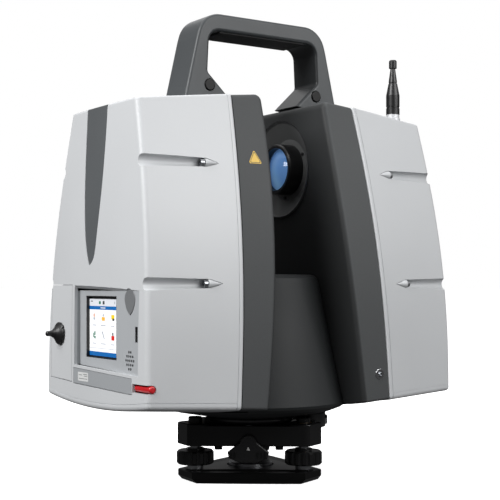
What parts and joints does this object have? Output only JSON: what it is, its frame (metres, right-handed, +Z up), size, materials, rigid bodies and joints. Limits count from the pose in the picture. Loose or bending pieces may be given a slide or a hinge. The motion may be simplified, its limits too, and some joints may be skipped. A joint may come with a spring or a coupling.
{
  "type": "terrestrial laser scanner",
  "caption": "Surveying laser scanner: two upright housings with a spinning mirror between them, bow handle, touch panel and a three-screw tribrach.",
  "frame": {"origin": "centre of the tribrach base plate underside, on the vertical rotation axis", "axes": "+Z up along the rotation axis, +X along the mirror axis from the display side to the lens side, -Y towards the front"},
  "size_m": [0.3737, 0.2288, 0.461],
  "materials": {
    "white_shell": "fine satin",
    "strip_grey": "fine grain, matt",
    "drum_grey": "satin",
    "handle_grey": "satin, fine grain",
    "black_plastic": "matt",
    "tribrach_black": "semi-gloss",
    "panel_grey": "satin",
    "button_grey": "translucent, gloss",
    "steel": "turned",
    "chrome": "polished",
    "brass": "turned",
    "cast_aluminium": "cast, satin",
    "lens_glass": "blue coated",
    "display_glass": "flat, gloss",
    "vial_glass": "clear",
    "mirror": "polished",
    "red_plastic": "gloss",
    "board_green": "satin",
    "soft_black": "soft, matt"
  },
  "bodies": {
    "foot_screw_a": {"foot_screw_a": "steel", "foot_knob_a": "tribrach_black"},
    "foot_screw_b": {"foot_screw_b": "steel", "foot_knob_b": "tribrach_black"},
    "foot_screw_c": {"foot_screw_c": "steel", "foot_knob_c": "tribrach_black"},
    "tribrach": {"base_plate": "tribrach_black", "thread_insert": "steel", "spring_plate": "tribrach_black", "tribrach_body": "tribrach_black", "screw_bushings": "brass", "screw_caps": "tribrach_black", "round_level_housing": "tribrach_black", "round_level_vial": "vial_glass", "instrument_base": "black_plastic", "power_socket": "chrome", "centring_studs": "steel", "vertical_axle": "steel"},
    "lock_plate": {"lock_plate": "steel"},
    "clamp_lever": {"clamp_lever": "black_plastic", "clamp_shaft": "steel"},
    "mirror": {"mirror_drum": "black_plastic", "mirror_plate": "mirror", "mirror_shaft": "steel"},
    "battery_door": {"battery_door": "white_shell"},
    "battery_knob": {"battery_knob": "black_plastic"},
    "power_button": {"power_button": "button_grey"},
    "port_cover": {"port_cover": "panel_grey"},
    "stylus": {"stylus_pen": "black_plastic", "stylus_cap": "red_plastic"},
    "handle_button_left": {"handle_button_left": "black_plastic"},
    "handle_button_right": {"handle_button_right": "black_plastic"},
    "alidade": {"yoke_frame": "cast_aluminium", "azimuth_bearings": "steel", "azimuth_motor": "steel", "drum_cover": "drum_grey", "left_inner_cover": "strip_grey", "right_inner_cover": "strip_grey", "left_shell": "white_shell", "right_shell": "white_shell", "shell_screws": "steel", "shell_inlays": "strip_grey", "control_panel": "panel_grey", "display_module": "black_plastic", "display_glass": "display_glass", "speaker": "black_plastic", "port_block": "black_plastic", "battery_pack": "soft_black", "main_board": "board_green", "mirror_bearings": "steel", "mirror_motor": "cast_aluminium", "lens_dish": "black_plastic", "lens_barrel": "black_plastic", "lens": "lens_glass", "laser_module": "cast_aluminium", "accessory_insert": "chrome", "handle_body": "handle_grey", "handle_grip": "soft_black", "antenna_base": "chrome", "antenna_whip": "black_plastic"}
  },
  "joints": [
    {"name": "foot_turn_a", "type": "hinge", "parent": "tribrach", "child": "foot_screw_a", "pos_m": [-0.06186, 0.0065, 0.024], "axis": [0, 0, 1], "range_deg": [-1200, 1200]},
    {"name": "foot_turn_b", "type": "hinge", "parent": "tribrach", "child": "foot_screw_b", "pos_m": [0.0253, -0.05682, 0.024], "axis": [0, 0, 1], "range_deg": [-1200, 1200]},
    {"name": "foot_turn_c", "type": "hinge", "parent": "tribrach", "child": "foot_screw_c", "pos_m": [0.03656, 0.05032, 0.024], "axis": [0, 0, 1], "range_deg": [-1200, 1200]},
    {"name": "clamp_turn", "type": "hinge", "parent": "tribrach", "child": "clamp_lever", "pos_m": [-0.03115, -0.04288, 0.04], "axis": [-0.5878, -0.809, 0], "range_deg": [0, 180]},
    {"name": "lock_plate_turn", "type": "hinge", "parent": "tribrach", "child": "lock_plate", "pos_m": [0, 0, 0.048], "axis": [0, 0, 1], "range_deg": [0, 20]},
    {"name": "pan", "type": "hinge", "parent": "tribrach", "child": "alidade", "pos_m": [0, 0, 0.1], "axis": [0, 0, 1], "continuous": true},
    {"name": "mirror_spin", "type": "hinge", "parent": "alidade", "child": "mirror", "pos_m": [0, 0, 0.315], "axis": [1, 0, 0], "continuous": true},
    {"name": "battery_door_open", "type": "hinge", "parent": "alidade", "child": "battery_door", "pos_m": [-0.17785, 0.06775, 0.1039], "axis": [0, -0.999, -0.0453], "range_deg": [0, 95]},
    {"name": "battery_knob_turn", "type": "hinge", "parent": "battery_door", "child": "battery_knob", "pos_m": [-0.1792, 0.07, 0.1473], "axis": [-1, 0, 0], "range_deg": [0, 90]},
    {"name": "power_button_press", "type": "slide", "parent": "alidade", "child": "power_button", "axis": [1, 0, 0], "range_m": [0, 0.0012], "stiffness_N_per_m": 600},
    {"name": "port_cover_open", "type": "hinge", "parent": "alidade", "child": "port_cover", "pos_m": [-0.17835, -0.0188, 0.10015], "axis": [0, -0.9997, -0.023], "range_deg": [0, 100]},
    {"name": "stylus_slide", "type": "slide", "parent": "alidade", "child": "stylus", "axis": [0, -1, 0], "range_m": [0, 0.096]},
    {"name": "handle_lock_left", "type": "slide", "parent": "alidade", "child": "handle_button_left", "axis": [0, 1, 0], "range_m": [0, 0.0025], "stiffness_N_per_m": 700},
    {"name": "handle_lock_right", "type": "slide", "parent": "alidade", "child": "handle_button_right", "axis": [0, 1, 0], "range_m": [0, 0.0025], "stiffness_N_per_m": 700}
  ],
  "couplings": [
    {"joint": "lock_plate_turn", "follows": "clamp_turn", "ratio": 0.11111}
  ]
}
